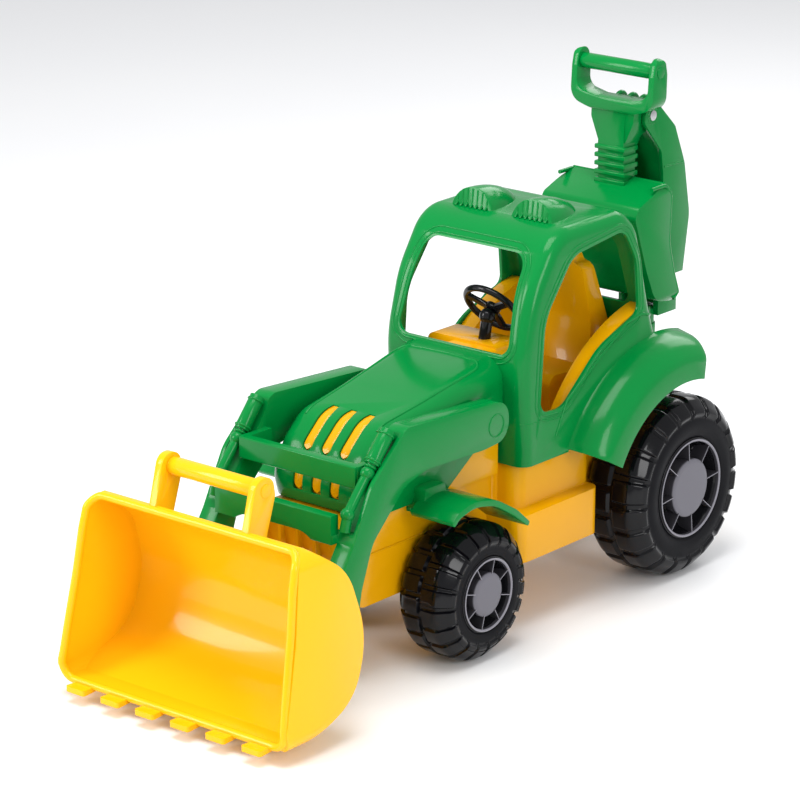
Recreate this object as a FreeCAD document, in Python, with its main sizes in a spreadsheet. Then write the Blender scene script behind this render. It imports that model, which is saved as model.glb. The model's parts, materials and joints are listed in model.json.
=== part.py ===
import FreeCAD, Part
import math
import os
from FreeCAD import Placement, Rotation, Vector

# A large moulded toy tractor with a front loader and a rear backhoe, in millimetres.
# +X is the tractor's left, -Y is its front and +Z is up, with the ground at Z 0.
# Every outline is drawn with the rear axle at Y 0. The pieces are then moved by rear_axle_y,
# which puts the origin on the ground under the middle of the whole toy.

DRIVING_SIZES = {
    "rear_axle_y": 202.2,
    "wheelbase": 240,
    "rear_radius": 70,
    "front_radius": 51.2,
    "rear_rim": 39.5,
    "front_rim": 28.5,
    "wheel_inside": 42.6,
    "rear_outside": 93.5,
    "front_outside": 88,
    "axle_radius": 2.5,
    "running_gap": 0.08,
    "wall": 2.4,
    "floor_height": 54,
    "nose_half_width": 40,
    "hood_half_width": 48,
    "cab_half_width": 66,
    "step_half_width": 71,
    "arm_inside": 55,
    "arm_outside": 70,
    "pivot_y": -211,
    "pivot_height": 168,
    "pivot_radius": 4,
    "bucket_pin_y": -379,
    "bucket_pin_height": 60,
    "bucket_half_width": 108,
    "grip_height": 171,
    "grip_y": -431,
    "grip_radius": 6.5,
    "ear_inside": 40,
    "ear_outside": 46,
    "swing_y": 56,
    "swing_pin_radius": 4,
    "boom_pin_y": 66,
    "boom_pin_height": 198,
    "dipper_pin_y": 35,
    "dipper_pin_height": 344,
    "boom_half_width": 24,
    "boom_wall": 3.5,
    "scoop_half_width": 45,
    "rear_grip_y": 23.5,
    "rear_grip_height": 381,
    "rear_grip_half_width": 38.5,
    "steering_y": -128,
    "steering_height": 224,
    "steering_radius": 22.5,
    "steering_tilt": 52,
}

VIEWS = {
    "side": Rotation(Vector(1, 1, 1), 120),
    "front": Rotation(Vector(1, 0, 0), 90),
    "plan": Rotation(),
}

doc = FreeCAD.newDocument("toy_tractor")
sheet = doc.addObject("Spreadsheet::Sheet", "Sizes")
for row, (alias, value) in enumerate(DRIVING_SIZES.items(), start=1):
    sheet.set(f"A{row}", alias)
    sheet.set(f"B{row}", str(value))
    sheet.setAlias(f"B{row}", alias)
doc.recompute()

pieces = []


def size(alias):
    return float(sheet.get(alias))


# ---- outlines ---------------------------------------------------------------------------

def corners_of(points):
    return [tuple(point) + (0.0,) * (3 - len(point)) for point in points]


def outline(points):
    """A closed run of lines through (a, b) or (a, b, radius), with an arc at each radius."""
    corners = corners_of(points)
    edges = []
    stretches = []
    for index, (a, b, radius) in enumerate(corners):
        here = Vector(a, b, 0)
        if radius <= 0:
            stretches.append((here, here))
            continue
        back = (Vector(*corners[index - 1][:2], 0) - here).normalize()
        ahead = (Vector(*corners[(index + 1) % len(corners)][:2], 0) - here).normalize()
        half = back.getAngle(ahead) / 2
        reach = radius / math.tan(half)
        middle = here + (back + ahead).normalize() * (radius / math.sin(half) - radius)
        edges.append(Part.Arc(here + back * reach, middle, here + ahead * reach))
        stretches.append((here + back * reach, here + ahead * reach))
    for index, (start, end) in enumerate(stretches):
        following = stretches[(index + 1) % len(stretches)][0]
        if end.distanceToPoint(following) > 1e-6:
            edges.append(Part.LineSegment(end, following))
    return edges


def inset(points, gap):
    """The same outline moved inwards by gap, or outwards when gap is negative."""
    corners = corners_of(points)
    following = corners[1:] + corners[:1]
    area = sum(p[0] * q[1] - q[0] * p[1] for p, q in zip(corners, following))
    side = math.copysign(1, area)
    moved = []
    for index, (a, b, radius) in enumerate(corners):
        here = Vector(a, b, 0)
        into = (here - Vector(*corners[index - 1][:2], 0)).normalize()
        out = (Vector(*following[index][:2], 0) - here).normalize()
        normal_in = Vector(-into.y, into.x, 0)
        normal_out = Vector(-out.y, out.x, 0)
        shift = (normal_in + normal_out) * (side * gap / (1 + normal_in.dot(normal_out)))
        turn = math.copysign(1, into.cross(out).z) * side
        new_radius = max(radius - gap * turn, 0.5) if radius else 0
        moved.append((a + shift.x, b + shift.y, new_radius))
    return moved


def rectangle(low_a, low_b, high_a, high_b, radius=0):
    corners = [(low_a, low_b), (high_a, low_b), (high_a, high_b), (low_a, high_b)]
    return [(a, b, radius) for a, b in corners]


def mirrored(points):
    """The half outline given from bottom to top, closed by its own mirror image in a."""
    return points + [(-point[0],) + tuple(point[1:]) for point in reversed(points)]


# ---- document objects -------------------------------------------------------------------

def prism(name, view, outlines, low, high):
    """Extrude one outline, or a list of them, between two places along the view's axis."""
    drawing = doc.addObject("Sketcher::SketchObject", name + "_sketch")
    for points in outlines if isinstance(outlines[0], list) else [outlines]:
        drawing.addGeometry(outline(points))
    drawing.Placement = Placement(Vector(), VIEWS[view])
    solid = doc.addObject("Part::Extrusion", name)
    solid.Base = drawing
    solid.DirMode = "Normal"
    solid.Solid = True
    ahead, behind = (high, f"-({low})") if view != "front" else (f"-({low})", high)
    solid.setExpression("LengthFwd", str(ahead))
    solid.setExpression("LengthRev", str(behind))
    return solid


def rod(name, radius, axis, start, length):
    """A cylinder along axis; radius, length and the start's three places are expressions."""
    solid = doc.addObject("Part::Cylinder", name)
    solid.Placement = Placement(Vector(), Rotation(Vector(0, 0, 1), Vector(axis)))
    solid.setExpression("Radius", str(radius))
    solid.setExpression("Height", str(length))
    for letter, place in zip("xyz", start):
        solid.setExpression(f"Placement.Base.{letter}", str(place))
    return solid


def ball(name, radius, centre):
    solid = doc.addObject("Part::Sphere", name)
    solid.Radius = radius
    solid.Placement.Base = Vector(*centre)
    return solid


def fuse(name, parts):
    result = doc.addObject("Part::MultiFuse", name)
    result.Shapes = parts
    result.Refine = True
    return result


def common(name, parts):
    result = doc.addObject("Part::MultiCommon", name)
    result.Shapes = parts
    return result


def cut(name, base, tools):
    result = doc.addObject("Part::Cut", name)
    result.Base = base
    result.Tool = tools[0] if len(tools) == 1 else fuse(name + "_tools", tools)
    return result


def group(name, parts):
    result = doc.addObject("Part::Compound", name)
    result.Links = parts
    return result


def mirror(name, source):
    result = doc.addObject("Part::Mirroring", name)
    result.Source = source
    result.Normal = Vector(1, 0, 0)
    return result


def new_body(name):
    return doc.addObject("PartDesign::Body", name)


def plane_of(body, role):
    return next(item for item in body.Origin.OriginFeatures if item.Role == role)


def body_sketch(body, name, role, outlines):
    drawing = body.newObject("Sketcher::SketchObject", name)
    drawing.AttachmentSupport = [(plane_of(body, role), "")]
    drawing.MapMode = "FlatFace"
    for points in outlines if isinstance(outlines[0], list) else [outlines]:
        drawing.addGeometry(outline(points))
    return drawing


def keep(node, feature, offset_y="Sizes.rear_axle_y", offset_z="0"):
    """Name the finished sub-part and move it from the axle's frame to the toy's own."""
    feature.Label = node
    feature.setExpression("Placement.Base.y", offset_y)
    feature.setExpression("Placement.Base.z", offset_z)
    pieces.append(feature)
    return feature


# ---- chassis and what stands on it ------------------------------------------------------

NOSE_SIDE = [(-328, 54, 12), (-170, 54), (-170, 120), (-355, 120, 3), (-352, 98, 30)]
TUB_BLOCKS = {
    # name: plan outline, floor, top
    "engine": (rectangle(-45, -236, 45, -175.5, 3), 118, 150),
    "step": (rectangle(-71, -184, 71, -86, 10), 54, 90),
    "cab_box": (rectangle(-58, -171.5, 58, -79, 12), 86, 123.6),
    "tail": (rectangle(-40, -180, 40, 46, 4), 54, 123.6),
}


def tub_solid(name, gap):
    """The tub's outer shape, or with a gap the room inside it, which is open at the top."""
    rise = 10 if gap else 0
    nose_plan = rectangle(-40, -356, 40, -168, 14)
    nose_side = NOSE_SIDE if not gap else inset(NOSE_SIDE, gap)
    nose = common(name + "_nose", [
        prism(name + "_nose_side", "side", nose_side, -60, 60),
        prism(name + "_nose_plan", "plan", inset(nose_plan, gap), 40, 160),
    ])
    parts = [nose]
    for block, (plan, low, high) in TUB_BLOCKS.items():
        closed = block == "step"
        parts.append(prism(f"{name}_{block}", "plan", inset(plan, gap), low + gap,
                           high - gap if closed else high + rise))
    return fuse(name, parts)


def make_chassis():
    hollow = cut("tub", tub_solid("tub_outer", 0), [tub_solid("tub_room", size("wall"))])
    bosses, bores = [], []
    for end, place_y, height in (
        ("front", "-Sizes.wheelbase", "Sizes.front_radius"),
        ("rear", "0", "Sizes.rear_radius"),
    ):
        bosses.append(rod(end + "_axle_boss", 9, (1, 0, 0), ("-41.8", place_y, height), 83.6))
        bores.append(rod(end + "_axle_bore", "Sizes.axle_radius", (1, 0, 0),
                         ("-50", place_y, height), 100))
    # the loader's rod and the swing post's bracket stand on cross walls inside the tub
    for index, wall_y in enumerate((-224, -198, 20)):
        top = 149 if wall_y < -100 else 122
        half = 39 if wall_y < -100 else 38
        plan = rectangle(-half, wall_y, half, wall_y + 2.4)
        bosses.append(prism(f"cross_wall_{index}", "plan", plan, 55, top))
    for index, rib_x in enumerate((-24, -8, 8, 24)):
        plan = rectangle(rib_x - 1.5, -357.5, rib_x + 1.5, -352)
        bosses.append(prism(f"nose_rib_{index}", "plan", plan, 96, 117))
    # a shallow pad on the underside, which a stand can bear on clear of the axle bosses
    bosses.append(prism("belly_pad", "plan", rectangle(-60, -172, 60, -92, 6), 53, 56))
    return cut("chassis", fuse("tub_with_bosses", [hollow] + bosses), bores)


HOOD_SIDE = [
    (-325, 122), (-330, 138, 25), (-316, 164, 25), (-297, 181, 30), (-252, 189, 300),
    (-176.4, 205), (-176.4, 151, 2), (-202, 147, 6), (-240, 122, 8),
]
HOOD_ROUNDING = 17
FENDER_STALK = [(-278, 118), (-276, 134, 3), (-254, 134, 3), (-252, 118)]


def rounded_prism(name, points, half_width, radius, chosen):
    """A side outline made solid about X 0, with the edges that chosen picks rounded."""
    block = prism(name + "_block", "side", points, -half_width, half_width)
    doc.recompute()
    edges = []
    for index, edge in enumerate(block.Shape.Edges, start=1):
        box = edge.BoundBox
        if box.XLength < 0.01 and chosen(edge.CenterOfMass):
            edges.append((index, radius, radius))
    rounded = doc.addObject("Part::Fillet", name + "_rounded")
    rounded.Base = block
    rounded.Edges = edges
    return rounded


def make_hood():
    half, wall = size("hood_half_width"), size("wall")

    def shoulder(at):
        return at.y < -178 and (at.z > 156 or at.y < -312)

    block = rounded_prism("hood", HOOD_SIDE, half, HOOD_ROUNDING, shoulder)
    inside = inset(HOOD_SIDE, wall)[:5] + [(-160, 205.5), (-160, 100), (-324.5, 100)]
    room = rounded_prism("hood_room", inside, half - wall, HOOD_ROUNDING - wall, shoulder)
    tools = [room, rod("hood_rod_hole", "Sizes.pivot_radius", (1, 0, 0),
                       (-60, "Sizes.pivot_y", "Sizes.pivot_height"), 120)]
    tools.append(prism("stalk_notches", "side", FENDER_STALK, -50, 50))
    for index, middle in enumerate((-17, 0, 17)):
        for level, (low, high, round_end) in (("upper", (158, 184, 4.4)),
                                              ("lower", (131, 150, 1))):
            slot = rectangle(middle - 4.5, low, middle + 4.5, high, round_end)
            tools.append(prism(f"slot_{level}_{index}", "front", slot, -345, -285))
    return cut("hood", block, tools)


def make_grille_insert():
    """A curved plate that lies behind the slots, 0.5 mm inside the hood's wall."""
    front = inset(HOOD_SIDE, size("wall") + 0.5)[:4]
    back = inset(HOOD_SIDE, size("wall") + 3)[:4]
    start, end = (-286, front[3][1] + 2.2), (-286, back[3][1] + 2.2)
    return prism("grille_insert", "side", front + [start, end] + back[::-1], -32, 32)


CAB_SIDE = [
    (-173, 124), (-177, 205, 90), (-164, 252, 80), (-136, 294, 34), (-54, 295, 22),
    (-36, 279, 30), (-18, 214, 20), (-9, 188), (-9, 124),
]
CAB_ROUNDING = 10
SIDE_WINDOW = [
    (-155, 162, 9), (-150, 232, 40), (-118, 273, 22), (-56, 280, 14), (-40, 254, 30),
    (-36, 213, 8), (-84, 196, 60), (-128, 160, 20),
]
WINDSHIELD = mirrored([(52, 207, 9), (46, 277, 12)])
REAR_WINDOW = mirrored([(46, 212, 9), (42, 268, 12)])
FENDER_SECTION = [
    (63.6, 125.4), (84, 121, 26), (94, 109, 13), (95.4, 92), (93, 92), (91.7, 108, 10.6),
    (82.8, 118.8, 23.6), (63.6, 122.9),
]
FENDER_CENTRE = (-12, 66)


def make_fender(side, name):
    drawing = doc.addObject("Sketcher::SketchObject", name + "_sketch")
    drawing.addGeometry(outline([(side * p[0],) + tuple(p[1:]) for p in FENDER_SECTION]))
    drawing.Placement = Placement(Vector(), VIEWS["front"])
    turned = doc.addObject("Part::Revolution", name)
    turned.Source = drawing
    turned.Axis = Vector(1, 0, 0)
    turned.Angle = 75
    turned.Solid = True
    turned.Placement = Placement(Vector(0, *FENDER_CENTRE), Rotation(Vector(1, 0, 0), -14))
    return turned


def make_cab_shell():
    half, wall = size("cab_half_width"), size("wall")

    def upper_edge(at):
        return at.z > 125 and not (at.y > -10 and at.z < 186)

    rounded = rounded_prism("cab", CAB_SIDE, half, CAB_ROUNDING, upper_edge)
    inside = inset(CAB_SIDE, wall)
    inside[0] = (inside[0][0], 110)
    inside[-1] = (inside[-1][0], 110)
    room = rounded_prism("cab_room", inside, half - wall, CAB_ROUNDING - wall, upper_edge)
    wells = []
    for side, name in ((1, "left"), (-1, "right")):
        start = "41" if side > 0 else "-91"
        wells.append(rod(f"well_{name}", 122.7, (1, 0, 0), (start,) + FENDER_CENTRE, 50))
    windows = [
        prism("windshield", "front", WINDSHIELD, -200, -110),
        prism("rear_window", "front", REAR_WINDOW, -50, 20),
        prism("side_windows", "side", SIDE_WINDOW, -80, 80),
    ]
    frame = cut("cab_frame", rounded, [room] + wells + windows)
    lamps = []
    for middle in (-28, 28):
        lamp = doc.addObject("Part::Ellipsoid", "roof_lamp")
        lamp.Radius1 = 21
        lamp.Radius2 = 19.5
        lamp.Radius3 = 46
        lamp.Placement.Base = Vector(middle, -116, 288)
        lamps.append(lamp)
    lamp_box = prism("lamp_limits", "side", [(-120, 285.5), (-117, 310), (-60, 310), (-60, 292)], -60, 60)
    lamp_tops = common("roof_lamps", [fuse("lamp_blobs", lamps), lamp_box])
    fenders = [make_fender(1, "fender_left"), make_fender(-1, "fender_right")]
    return fuse("cab_shell", [frame, lamp_tops] + fenders)


def make_cab_interior():
    """Floor, wheel arches, dash and seat, moulded in one and standing on the tub."""
    wall = size("wall")
    reach, arch = size("cab_half_width") - wall - 0.3, 148
    span = prism("interior_limits", "side",
                 [(-168, 124), (-168, 160), (-140, 186), (-100, 216), (-25, 216), (-14, 184),
                  (-12, 124)], f"-{reach}", reach)
    arches = []
    for side, name in ((1, "left"), (-1, "right")):
        start = 50 if side > 0 else -reach
        outer = rod(f"arch_{name}_outer", arch, (1, 0, 0), (start, 0, "Sizes.rear_radius"),
                    reach - 50)
        arches.append(outer)
    arch_body = common("arch_block", [span, fuse("arches", arches)])
    hollow = [
        rod(f"arch_{name}_room", arch - 2.4, (1, 0, 0), (start, 0, "Sizes.rear_radius"),
            reach - 50)
        for name, start in (("left", 52.4), ("right", -reach - 2.4))
    ]
    shell = cut("arch_shell", arch_body, hollow)
    floor = prism("cab_floor", "plan", rectangle(-57, -168, 57, -14, 8), 124, 126.6)
    dash = prism("dash", "front", mirrored([(34, 124), (34, 186, 5), (20, 201, 6)]), -166, -140)
    dash_room = prism("dash_room", "front", mirrored([(31.6, 126), (31.6, 184)]), -163, -130)
    console = prism("console", "front", rectangle(-44, 184, 22, 203, 6), -150, -122)
    console_leg = prism("console_leg", "front", rectangle(-20, 126, 20, 186), -140, -137)
    back = common("seat_back", [
        prism("seat_back_front", "front",
              mirrored([(27, 126), (25, 190, 30), (22, 243, 7), (14, 245, 3), (12, 274, 6)]),
              -80, -10),
        prism("seat_back_side", "side",
              [(-46, 126), (-40, 200, 30), (-50, 245, 30), (-62, 275, 3), (-50, 275, 3),
               (-37, 248, 20), (-25, 214, 20), (-17, 190, 20), (-14, 126)], -30, 30),
    ])
    bench = prism("seat_bench", "side",
                  [(-92, 126), (-94, 168, 8), (-40, 164), (-40, 126)], -27, 27)
    bench_room = prism("bench_room", "side", rectangle(-89, 124, -34, 160), -24.6, 24.6)
    back_room = prism("back_room", "front",
                      mirrored([(24.6, 124), (22.6, 190, 30), (20, 205, 5)]), -38, -22)
    dash_shell = cut("dash_shell", dash, [dash_room])
    seat = cut("seat_shell", fuse("seat_solid", [back, bench]), [bench_room, back_room])
    column_hole = rod("column_hole", 4.5, COLUMN_AXIS, COLUMN_FOOT, 60)
    body = fuse("interior_fused", [shell, floor, dash_shell, console, console_leg, seat])
    tyre_rooms = [
        rod(f"tyre_room_{side}", 76, (1, 0, 0), (start, 0, "Sizes.rear_radius"), 40)
        for side, start in (("left", 41), ("right", -81))
    ]
    return cut("cab_interior", body, [column_hole] + tyre_rooms)


COLUMN_FOOT = (0, -143, 181)
COLUMN_AXIS = (0, 0.223, 0.975)
KNUCKLE_RADIUS = 6.2


def steering_axis():
    tilt = math.radians(size("steering_tilt"))
    return (0, math.sin(tilt), math.cos(tilt))


def on_steering_axis(along):
    """A place on the steering axis, measured up from the ring's middle."""
    axis = steering_axis()
    return (0, size("steering_y") + axis[1] * along, size("steering_height") + axis[2] * along)


def make_steering_column():
    """A leaning column, pressed into the dash, with a knuckle that holds the wheel's stub."""
    knuckle = on_steering_axis(-8)
    foot = Vector(*COLUMN_FOOT)
    reach = (Vector(*knuckle) - foot).Length
    solid = fuse("column_solid", [
        rod("column_rod", 4.5, COLUMN_AXIS, COLUMN_FOOT, reach),
        ball("column_knuckle", KNUCKLE_RADIUS, knuckle),
    ])
    return cut("steering_column", solid, [
        rod("knuckle_face", 12, steering_axis(), on_steering_axis(-3.4), 20),
        rod("knuckle_bore", "2.5 + Sizes.running_gap", steering_axis(), on_steering_axis(-10),
            12),
    ])


def make_steering_wheel():
    """Ring, three spokes, hub and stub, turned about the tilted steering axis."""
    ring = doc.addObject("Part::Torus", "steering_ring")
    ring.setExpression("Radius1", "Sizes.steering_radius")
    ring.Radius2 = 2.6
    parts = [ring]
    for index in range(3):
        spoke = doc.addObject("Part::Box", f"steering_spoke_{index}")
        spoke.Length, spoke.Width, spoke.Height = 22, 5, 3
        turn = Rotation(Vector(0, 0, 1), 90 + 120 * index)
        spoke.Placement = Placement(turn.multVec(Vector(0, -2.5, -2)), turn)
        parts.append(spoke)
    parts.append(rod("steering_hub", 6, (0, 0, 1), (0, 0, -3), 4.5))
    parts.append(rod("steering_stub", 2.5, (0, 0, 1), (0, 0, -9.5), 8))
    wheel = fuse("steering_wheel", parts)
    wheel.Placement = Placement(Vector(), Rotation(Vector(0, 0, 1), Vector(steering_axis())))
    return wheel


def make_front_fender(side, name):
    """A curved guard over a front wheel, on a stalk that plugs into the engine block."""
    guard = [
        (-288, 119, 2), (-281, 125, 12), (-262, 129, 40), (-238, 124, 40), (-214, 110, 30),
        (-199, 97, 1.5), (-201, 94, 1), (-217, 106, 30), (-239, 119.5, 40), (-262, 124.5, 40),
        (-279, 120.5, 12), (-285, 115.5, 1),
    ]
    low, high = (53, 92) if side > 0 else (-92, -53)
    blade = prism(name + "_blade", "side", guard, low, high)
    low, high = (43, 58) if side > 0 else (-58, -43)
    stalk = prism(name + "_stalk", "side", FENDER_STALK, low, high)
    root_low, root_high = (40.0, 44) if side > 0 else (-44, -40.0)
    foot = prism(name + "_foot", "side", rectangle(-276, 114, -254, 130), root_low, root_high)
    return fuse(name, [blade, stalk, foot])


def make_rear_bracket():
    box = prism("bracket_box", "plan", rectangle(-28, -6, 28, 34, 4), 124, 195)
    room = prism("bracket_room", "plan", rectangle(-25.6, -3.6, 25.6, 31.6, 2), 122, 192.6)
    ear = prism("bracket_ear", "plan",
                [(-16, 32), (16, 32), (12, 67, 11.5), (-12, 67, 11.5)], 162, 173)
    bore = rod("bracket_bore", "Sizes.swing_pin_radius + Sizes.running_gap", (0, 0, 1),
               (0, "Sizes.swing_y", 150), 40)
    gusset = prism("bracket_gusset", "side", [(33, 136), (33, 163), (47, 163)], -3, 3)
    hollow = cut("bracket_hollow", box, [room])
    return cut("rear_bracket", fuse("bracket_solid", [hollow, ear, gusset]), [bore])


# ---- loader and bucket ------------------------------------------------------------------

ARM_SIDE = [
    (-197, 184, 14), (-311, 191, 12), (-348, 158, 30), (-369, 118, 40), (-391, 84, 20),
    (-391, 48, 11.9), (-367, 48, 11.9), (-360, 84, 30), (-348, 116, 30), (-313, 149, 25), (-290, 155, 20),
    (-225, 153, 15), (-197, 155, 14),
]
RAM_TOP = (-320.5, 189.5)
RAM_BOTTOM = (-364, 139.5)
RAM_X = 60.7
RAM_RADIUS = 5.6


def make_arm(side, name):
    inner, outer = size("arm_inside"), size("arm_outside")
    span = (inner, outer) if side > 0 else (-outer, -inner)
    plate = prism(name + "_plate", "side", ARM_SIDE, *span)
    bay = [(-305, 204), (-315, 187), (-318, 181), (-360, 126), (-404, 126), (-404, 204)]
    web = outer - 3.5
    bay_span = (inner - 2, web) if side > 0 else (-web, 2 - inner)
    weight_span = (inner + 3, web) if side > 0 else (-web, -inner - 3)
    tools = [
        prism(name + "_ram_bay", "side", bay, *bay_span),
        prism(name + "_channel", "side",
              [(-232, 158, 4), (-232, 180, 4), (-306, 184, 4), (-294, 160, 4)], *weight_span),
        rod(name + "_pivot_bore", "Sizes.pivot_radius + Sizes.running_gap", (1, 0, 0),
            (50 if side > 0 else -66.6, "Sizes.pivot_y", "Sizes.pivot_height"), 16.6),
        rod(name + "_pin_bore", 3, (1, 0, 0),
            (50 if side > 0 else -67, "Sizes.bucket_pin_y", "Sizes.bucket_pin_height"), 17),
    ]
    return cut(name, plate, tools)


def make_loader_frame():
    inner = size("arm_inside")
    beams = [
        prism("upper_beam", "side", rectangle(-348, 152, -340, 168, 1), -54, 54),
        prism("lower_beam", "side", rectangle(-374, 118, -366, 139, 1), -54, 54),
    ]
    arch = prism("beam_arch", "front", mirrored([(46, 110), (30, 123, 20)]), -390, -350)
    beams[1] = cut("lower_beam_arched", beams[1], [arch])
    for side in (-1, 1):
        near, far = sorted((side * 49, side * inner))
        beams.append(prism(f"upper_gusset_{side + 1}", "side",
                           [(-346, 168), (-346, 152), (-319, 152), (-319, 168)], near, far))
        beams.append(prism(f"lower_gusset_{side + 1}", "side",
                           [(-373, 125), (-373, 119), (-355, 119), (-355, 125)], near, far))
    arms = [make_arm(1, "arm_left"), make_arm(-1, "arm_right")]
    return fuse("loader_frame", arms + beams)


def make_ram(side, name):
    """A moulded lift cylinder: barrel, ball joint, rod and lower ball."""
    top = Vector(side * RAM_X, *RAM_TOP)
    bottom = Vector(side * RAM_X, *RAM_BOTTOM)
    along = (bottom - top).normalize()
    shank_start = top + along * 20
    stub = Vector(side * RAM_X, -367, 127.5)
    parts = [
        rod(name + "_stub", 3.8, stub - bottom, tuple(bottom), (stub - bottom).Length),
        rod(name + "_barrel", RAM_RADIUS, along, tuple(top), 27),
        rod(name + "_rod", 3.6, along, tuple(shank_start), (bottom - shank_start).Length),
        ball(name + "_joint", 5.2, top + along * 34),
        ball(name + "_end", 5, bottom),
    ]
    return fuse(name, parts)


BUCKET_SIDE = [
    (-447, 146, 3), (-410, 121, 45), (-394.5, 72, 62), (-410, 31, 42),
    (-459, 11, 4), (-476, 10, 2), (-481, 24, 10), (-466, 86, 90), (-458, 140, 20),
]
BUCKET_FRONT = mirrored([(108.8, 9.5, 12), (99, 147, 16)])


def bucket_solid(name, gap):
    """The bucket's outer shape, or with a gap its scoop, which runs out past the rim."""
    side = inset(BUCKET_SIDE, gap) if gap else BUCKET_SIDE
    if gap:
        side = side[:5] + [(-500, 10 + gap), (-500, 146 - gap)]
        side[4] = (side[4][0], side[4][1], 4)
    return common(name, [
        prism(name + "_side", "side", side, "-Sizes.bucket_half_width",
              "Sizes.bucket_half_width"),
        prism(name + "_front", "front", inset(BUCKET_FRONT, gap), -520, -380),
    ])


def make_bucket_shell():
    shell = cut("bucket_scoop", bucket_solid("bucket_outer", 0), [bucket_solid("bucket_room", 3)])
    parts = [shell]
    for index in range(6):
        middle = 33 * (index - 2.5)
        tooth = [(middle - 7, -470), (middle + 7, -470), (middle + 9, -490, 2),
                 (middle - 9, -490, 2)]
        parts.append(prism(f"tooth_{index}", "plan", tooth, 8.5, 12.5))
    for side in (-1, 1):
        near, far = sorted((side * 46, side * 54))
        lug = [(-400.3, 46), (-377, 50, 9), (-368, 60, 9), (-377, 70, 9), (-400.3, 76)]
        parts.append(prism(f"bucket_lug_{side + 1}", "side", lug, near, far))
        near, far = sorted((side * size("ear_inside"), side * size("ear_outside")))
        ear = [(-450, 142), (-432, 134), (-421.5, 166, 8), (-424, 180.5, 9), (-440, 180.5, 9)]
        parts.append(prism(f"grip_ear_{side + 1}", "side", ear, near, far))
    bores = [
        rod("grip_bore", "Sizes.grip_radius - 1.5", (1, 0, 0),
            (-60, "Sizes.grip_y", "Sizes.grip_height"), 120),
        rod("lug_bore", "3 + Sizes.running_gap", (1, 0, 0),
            (-60, "Sizes.bucket_pin_y", "Sizes.bucket_pin_height"), 120),
    ]
    return cut("bucket_shell", fuse("bucket_solid", parts), bores)


def make_bucket_grip():
    """A bar with a spigot at each end that is pressed through the bucket's ears."""
    start = ("Sizes.grip_y", "Sizes.grip_height")
    return fuse("bucket_grip_bar", [
        rod("grip_bar", "Sizes.grip_radius", (1, 0, 0), ("-Sizes.ear_inside",) + start,
            "2 * Sizes.ear_inside"),
        rod("grip_spigot", "Sizes.grip_radius - 1.5", (1, 0, 0),
            ("-Sizes.ear_outside - 0.6",) + start, "2 * Sizes.ear_outside + 1.2"),
    ])


# ---- backhoe ----------------------------------------------------------------------------

def make_swing_post():
    flange = prism("post_flange", "plan",
                   [(-15, 44, 4), (15, 44, 4), (14, 71, 6), (-14, 71, 6)], 181, 186)
    neck = prism("post_neck", "plan", rectangle(-12, 46, 12, 63, 6), 173.3, 182)
    parts = [flange, neck]
    for side in (-1, 1):
        near, far = sorted((side * 14.2, side * 19))
        cheek = [(54, 181), (78, 181), (78, 204, 11.5), (54, 204, 11.5)]
        parts.append(prism(f"post_cheek_{side + 1}", "side", cheek, near, far))
    parts.append(prism("post_base", "plan", rectangle(-19, 54, 19, 78, 2), 181, 185))
    bores = [
        rod("post_pin_bore", "Sizes.swing_pin_radius", (0, 0, 1), (0, "Sizes.swing_y", 150), 60),
        rod("post_boom_bore", 3.5, (1, 0, 0),
            (-30, "Sizes.boom_pin_y", "Sizes.boom_pin_height"), 60),
    ]
    return cut("swing_post", fuse("post_solid", parts), bores)


def make_swing_pin():
    """The upright pin, fixed in the post, with its head below the bracket's ear."""
    middle = (0, "Sizes.swing_y")
    return fuse("swing_pin", [
        rod("swing_pin_shank", "Sizes.swing_pin_radius", (0, 0, 1), middle + (158,), 28),
        rod("swing_pin_head", 7, (0, 0, 1), middle + (158,), 3.7),
    ])


BOOM_SIDE = [
    (25.6, 351.5, 8), (42.5, 351.5, 6), (64.5, 331, 8), (78, 300, 30), (86, 258, 30), (78.5, 210, 10),
    (77, 187, 10.8), (55, 187, 10.8), (53, 216, 6), (50, 296), (47, 314, 8), (25, 339, 4),
]


def make_boom():
    """A channel that is open to the front, with a narrow lug at its foot."""
    half, wall = size("boom_half_width"), size("boom_wall")
    outer = prism("boom_block", "side", BOOM_SIDE, -half, half)
    foot_cuts = []
    for side in (-1, 1):
        near, far = sorted((side * 13.9, side * (half + 5)))
        foot_cuts.append(prism(f"boom_foot_{side + 1}", "side",
                               rectangle(40, 180, 92, 213), near, far))
    room = prism("boom_room", "side",
                 [(10, 360), (41, 360), (41, 344, 6), (58, 327, 8), (72, 296, 20), (80, 258, 20),
                  (74, 220, 4), (40, 220), (10, 300)], -(half - wall), half - wall)
    bores = [
        rod("boom_foot_bore", "3.5 + Sizes.running_gap", (1, 0, 0),
            (-30, "Sizes.boom_pin_y", "Sizes.boom_pin_height"), 60),
        rod("boom_tip_bore", 4, (1, 0, 0),
            (-30, "Sizes.dipper_pin_y", "Sizes.dipper_pin_height"), 60),
    ]
    return cut("boom", outer, foot_cuts + [room] + bores)


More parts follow.
